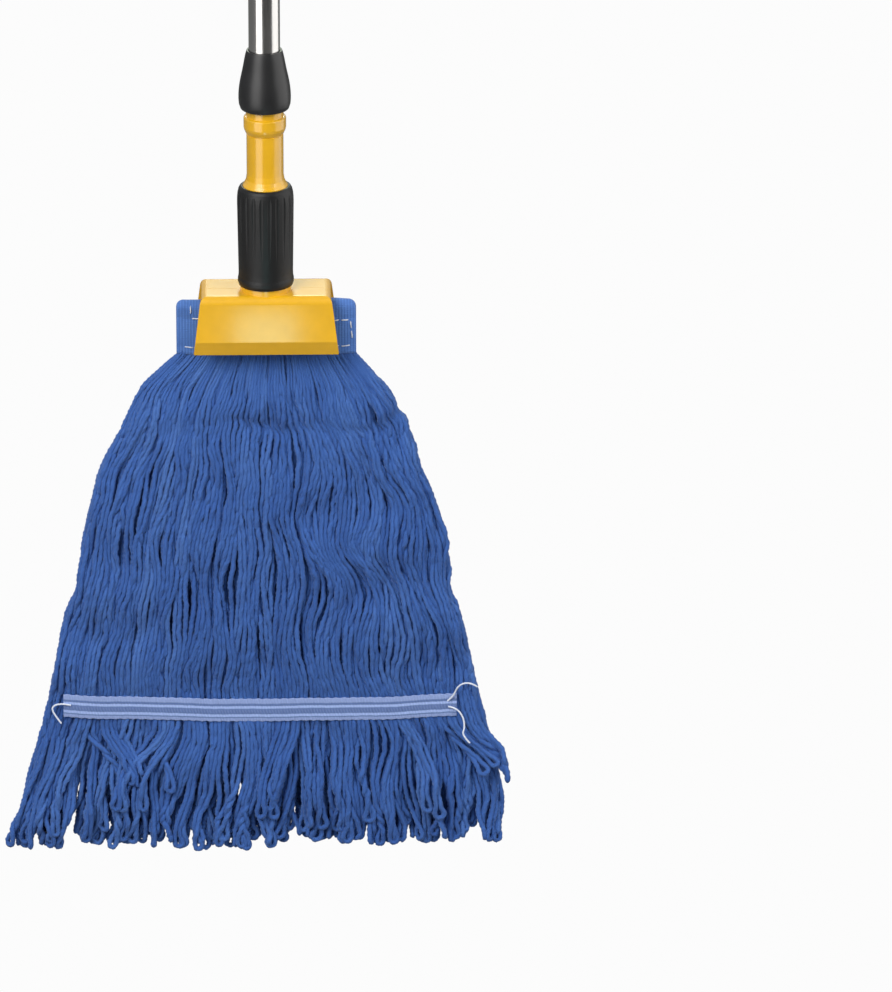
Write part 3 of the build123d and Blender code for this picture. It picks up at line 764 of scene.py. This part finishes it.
def stitch_row(start, end):
    """Stitch centrelines (x, z, lift off the cloth) from start to end, a little uneven."""
    rng = np.random.default_rng(int(abs(start[0] * 7919 + end[1] * 1543) * 1000) % 99991)
    start, end = np.array(start), np.array(end)
    span = np.linalg.norm(end - start)
    direction = (end - start) / span
    across = np.array([-direction[1], direction[0]])
    stitches, at = [], 0.0
    while at + STITCH * 0.6 < span:
        run = min(STITCH * rng.uniform(0.82, 1.12), span - at)
        t = np.linspace(0, 1, 9)
        tilt = (t - 0.5) * STITCH_SLANT * rng.uniform(0.2, 1.6) + rng.normal(0, 0.18 * MM)
        line = start + np.outer(at + t * run, direction) + np.outer(tilt, across)
        height = STITCH_LIFT - (STITCH_SINK + STITCH_LIFT) * np.abs(2 * t - 1) ** 5
        stitches.append(np.column_stack((line, height)))
        at += run + STITCH_GAP * rng.uniform(0.7, 1.3)
    return stitches


def build_stitching():
    """Lockstitches on both faces of the headband: in from the top, across, down and back."""
    left, right = -0.83 * BAND_HALF, 0.935 * BAND_HALF
    route = [
        ((left - 0.4 * MM, BAND_HIGH.z - 4 * MM), (left - 1.4 * MM, UPPER_ROW)),
        ((left, UPPER_ROW), (right, UPPER_ROW - 2.0 * MM)),
        ((right + 0.5 * MM, UPPER_ROW - 3 * MM), (right + 1.2 * MM, LOWER_ROW + 1 * MM)),
        ((right, LOWER_ROW), (-0.80 * BAND_HALF, LOWER_ROW - 1.0 * MM)),
        ((-0.81 * BAND_HALF, LOWER_ROW - 1.0 * MM), (-0.985 * BAND_HALF, LOWER_ROW + 1.2 * MM)),
    ]
    paths = []
    for face in (-1, 1):
        for start, end in route:
            for x, z, lift in (s.T for s in stitch_row(start, end)):
                side = band_side(x, z) + 0.15 * MM + lift
                paths.append(np.column_stack((x, face * side, z)))
    paths = np.array(paths)
    radius = np.full(paths.shape[:2], STITCH_R)
    points, faces, uv, _ = strand_tubes(paths, radius, sides=6, plies=2, ply_depth=0.08, lay=0.003)
    piece("headband_stitching", points, faces, THREAD, uv=uv)


build_headband()
build_stitching()


# ---- Tail tapes ----------------------------------------------------------------------------------
TAPE_HALF = (TAPE_HIGH.z - TAPE_LOW.z) / 2
TAPE_THICK = TAPE_HIGH.y - TAPE_LOW.y


def tape_wave(x):
    """How far the sewn tape wanders up or down, and in or out, along its length."""
    rise = -2.0 * MM + 4.2 * MM * (x / 0.16) ** 2 - 0.6 * MM * x / 0.16 + 0.35 * MM * np.sin(x * 57)
    swell = 0.45 * MM * np.sin(x * 74) + 0.3 * MM * np.sin(x * 131 + 1)
    return rise, swell


def build_tape(name, node, side):
    """One webbing tape lying on a face of the yarn, dented along its two sewn lines."""
    along, across, edge = 420, 26, 5
    x = np.linspace(TAPE_LOW.x, TAPE_HIGH.x, along)[:, None]
    v = np.linspace(-1, 1, across)[None]
    rise, swell = tape_wave(x)
    seams = np.exp(-(((np.abs(v) - 0.36) / 0.09) ** 2))
    pull = 0.5 * MM * seams * (0.6 + 0.4 * np.cos(2 * np.pi * x / (3.2 * MM)))
    crown = 0.35 * MM * (1 - v**2)
    outer = TAPE_INSIDE + TAPE_THICK + swell + crown - pull - 0.2 * MM
    inner = TAPE_INSIDE + 0.15 * MM + swell
    edge_wobble = 0.25 * MM * np.sin(x * 900 + 3 * np.sign(v)) * np.abs(v) ** 8
    z = TAPE_Z + rise + v * TAPE_HALF + edge_wobble
    face = np.stack(np.broadcast_arrays(x, side * outer, z), axis=2)
    lining = np.stack(np.broadcast_arrays(x, side * inner, z), axis=2)
    turn = np.linspace(0, math.pi, edge + 2)[1:-1]
    middle, thick = (outer + inner) / 2, (outer - inner) / 2

    def rounded(column, sign):
        bulge = sign * 0.55 * MM * np.sin(turn)[None]
        depth = middle[:, column, None] + thick[:, column, None] * np.cos(turn)[None]
        return np.stack(np.broadcast_arrays(x, side * depth, z[:, column, None] + bulge), axis=2)

    section = np.concatenate((face, rounded(-1, 1), lining[:, ::-1], rounded(0, -1)[:, ::-1]), axis=1)
    rows, around, _ = section.shape
    faces = section_faces(rows, around, across, 2 * across + edge - 1)
    if side > 0:
        faces = faces[:, ::-1]
    points = section.reshape(-1, 3)
    corner = points[faces.ravel()]
    v_around = (section[..., 2] - TAPE_Z - rise) / (2 * TAPE_HALF) + 0.5
    uv = np.column_stack((corner[:, 0], v_around.reshape(-1)[faces.ravel()]))
    tape = piece(name, points, faces, TAPE_WEB, uv=uv)
    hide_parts(node)


build_tape("front_tail_webbing", "front_tail_tape", -1)
build_tape("back_tail_webbing", "back_tail_tape", 1)


# ---- Loose thread ends ---------------------------------------------------------------------------
# Control points (x, y, height above the tail tape's middle line) in millimetres.
THREAD_ROUTES = {
    "right_lower_thread": (
        (145.0, -11.6, 0.5),
        (151.5, -12.0, -0.5),
        (157.3, -13.6, -8.0),
        (158.3, -16.2, -16.5),
        (156.0, -17.6, -22.0),
        (162.4, -18.8, -28.6),
    ),
    "right_upper_thread": (
        (144.5, -11.6, 5.5),
        (149.5, -12.2, 10.0),
        (152.0, -14.2, 18.0),
        (157.0, -15.8, 22.5),
        (163.5, -15.8, 22.5),
        (168.5, -15.2, 19.0),
    ),
    "left_thread": (
        (-160.0, -11.6, 4.0),
        (-168.0, -12.2, 6.0),
        (-175.5, -13.0, 3.5),
        (-174.0, -13.8, -2.5),
        (-167.8, -15.0, -10.4),
    ),
}
THREAD_D = 1.4 * MM


def build_thread(node, route):
    """A loose end of sewing thread as one smooth round curve."""
    curve = bpy.data.curves.new(node + "_end", "CURVE")
    curve.dimensions = "3D"
    curve.bevel_depth = THREAD_D / 2
    curve.bevel_resolution = 4
    curve.use_fill_caps = True
    curve.resolution_u = 16
    spline = curve.splines.new("NURBS")
    spline.points.add(len(route) - 1)
    for point, (x, y, height) in zip(spline.points, route):
        point.co = (x * MM, y * MM, TAPE_Z + height * MM, 1.0)
    spline.order_u = 3
    spline.use_endpoint_u = True
    curve.materials.append(THREAD)
    thread = bpy.data.objects.new(node + "_end", curve)
    bpy.context.scene.collection.objects.link(thread)
    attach(thread, "mop_head")
    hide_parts(node)
    x, y, height = route[0]


for thread_node, thread_route in THREAD_ROUTES.items():
    build_thread(thread_node, thread_route)


# ---- Stage, light and camera ---------------------------------------------------------------------
# Heights of the lamps and cards are above this level, just under the hanging fringe.
FLOOR_Z = FRINGE_LOW.z - 3 * MM
# The floor itself lies lower, out of the way of a released mop head.
FLOOR_SUNK = 0.25
STAGE_HALF = 20.0
CARD_AWAY = 1.3
CARD_TALL = 2.35
# Reflection cards: name, the azimuths in degrees between which they stand, and glow.
CARDS = (("left", -149, -107, 2.8), ("front", -103, -37, 0.09), ("right", -29, 31, 1.7))


def stage_mesh(name, corners, faces, material):
    mesh = bpy.data.meshes.new(name)
    mesh.from_pydata(corners, [], faces)
    mesh.materials.append(material)
    thing = bpy.data.objects.new(name, mesh)
    bpy.context.scene.collection.objects.link(thing)
    return thing


def plane(name, half, height, material):
    corners = [(-half, -half, height), (half, -half, height), (half, half, height), (-half, half, height)]
    return stage_mesh(name, corners, [(0, 1, 2, 3)], material)


def box(name, half, material):
    around = ((-half, -half), (half, -half), (half, half), (-half, half))
    corners = [(x, y, z) for z in (-half, half) for x, y in around]
    sides = [(i, (i + 1) % 4, (i + 1) % 4 + 4, i + 4) for i in range(4)]
    return stage_mesh(name, corners, [(0, 1, 2, 3), (4, 5, 6, 7)] + sides, material)


def curved_card(name, start, end, material):
    """A card that stands around the mop between two azimuths, seen only in reflections."""
    corners, faces = [], []
    for step in range(17):
        angle = math.radians(start + (end - start) * step / 16)
        for height in (FLOOR_Z + 0.01, FLOOR_Z + CARD_TALL):
            corners.append((CARD_AWAY * math.cos(angle), CARD_AWAY * math.sin(angle), height))
        if step:
            faces.append((2 * step - 2, 2 * step, 2 * step + 1, 2 * step - 1))
    card = stage_mesh(name, corners, faces, material)
    card.visible_camera = False
    card.visible_diffuse = False
    card.visible_shadow = False
    card.visible_transmission = False


def glowing(name, color, strength):
    """A material that only shines, with nothing of its own to reflect."""
    look = Finish(name, (0, 0, 0), 1.0, Specular_IOR_Level=0.0)
    look.set("Emission Color", color)
    look.set("Emission Strength", strength)
    return look.material


def build_stage():
    """White all around for the camera, a grey floor that lights from below, and reflection cards."""
    surround = box("surround", STAGE_HALF, glowing("surround_white", (1.0, 1.0, 1.0), 0.973))
    for kind in ("diffuse", "glossy", "transmission", "shadow"):
        setattr(surround, "visible_" + kind, False)
    grey = Finish("floor_grey", (0.25, 0.25, 0.25), 0.9, Specular_IOR_Level=0.0)
    floor = plane("floor", STAGE_HALF, FLOOR_Z - FLOOR_SUNK, grey.material)
    floor.visible_camera = False
    for name, start, end, glow in CARDS:
        card = glowing("card_" + name, (1.0, 0.99, 0.98), glow)
        curved_card("reflection_card_" + name, start, end, card)


def softbox(name, place, aim, size, energy, color=(1, 1, 1)):
    light = bpy.data.lights.new(name, "AREA")
    light.shape = "RECTANGLE"
    light.size, light.size_y = size
    light.energy = energy
    light.color = color
    lamp = bpy.data.objects.new(name, light)
    lamp.location = place
    lamp.rotation_euler = (Vector(aim) - Vector(place)).to_track_quat("-Z", "Y").to_euler()
    lamp.visible_camera = False
    bpy.context.scene.collection.objects.link(lamp)
    return lamp


def build_light():
    world = bpy.data.worlds.new("studio")
    world.use_nodes = True
    background = world.node_tree.nodes["Background"]
    background.inputs["Color"].default_value = (0.93, 0.95, 1.0, 1)
    background.inputs["Strength"].default_value = 0.45
    bpy.context.scene.world = world
    head = (0, 0, TAPE_Z + 0.15)
    softbox("key", (-1.5, -2.2, FLOOR_Z + 2.6), head, (1.7, 1.7), 88)
    softbox("fill", (2.2, -1.6, FLOOR_Z + 1.5), head, (1.8, 1.8), 34)
    softbox("back", (0.3, 2.7, FLOOR_Z + 2.18), head, (2.2, 1.0), 39, (0.9, 1.0, 0.82))
    # A small lamp close to the front jaw, seen in its gloss only.
    jaw = Vector((0, BAND_LOW.y, (BAND_LOW.z + BAND_HIGH.z) / 2 + 0.005))
    near_jaw = jaw + Vector((0, -0.20, -0.018))
    jaw_glow = softbox("jaw_glow", near_jaw, jaw, (0.05, 0.04), 0.026, (0.45, 1, 0.98))
    jaw_glow.visible_diffuse = False
    view = bpy.context.scene.view_settings
    view.view_transform = "Standard"
    view.look = "None"


# The camera stands in front and a little above, and turns aside so that the mop hangs left of centre.
CAMERA_RISE = 21.0
CAMERA_AWAY = 8.0
CAMERA_AIM_Z = BAND_BOTTOM - 0.1246
CAMERA_ASIDE = 0.1435
FRAME_TALL = 0.797


def build_camera():
    lens = bpy.data.cameras.new("camera")
    lens.sensor_fit = "VERTICAL"
    lens.sensor_height = 24
    lens.lens = 24 * CAMERA_AWAY / FRAME_TALL
    lens.clip_end = 200
    camera = bpy.data.objects.new("camera", lens)
    rise = math.radians(CAMERA_RISE)
    on_axis = Vector((0, 0, CAMERA_AIM_Z))
    camera.location = on_axis + CAMERA_AWAY * Vector((0, -math.cos(rise), math.sin(rise)))
    aim = on_axis + Vector((CAMERA_ASIDE, 0, 0))
    camera.rotation_euler = (aim - camera.location).to_track_quat("-Z", "Y").to_euler()
    bpy.context.scene.collection.objects.link(camera)
    bpy.context.scene.camera = camera


build_stage()
build_light()
build_camera()
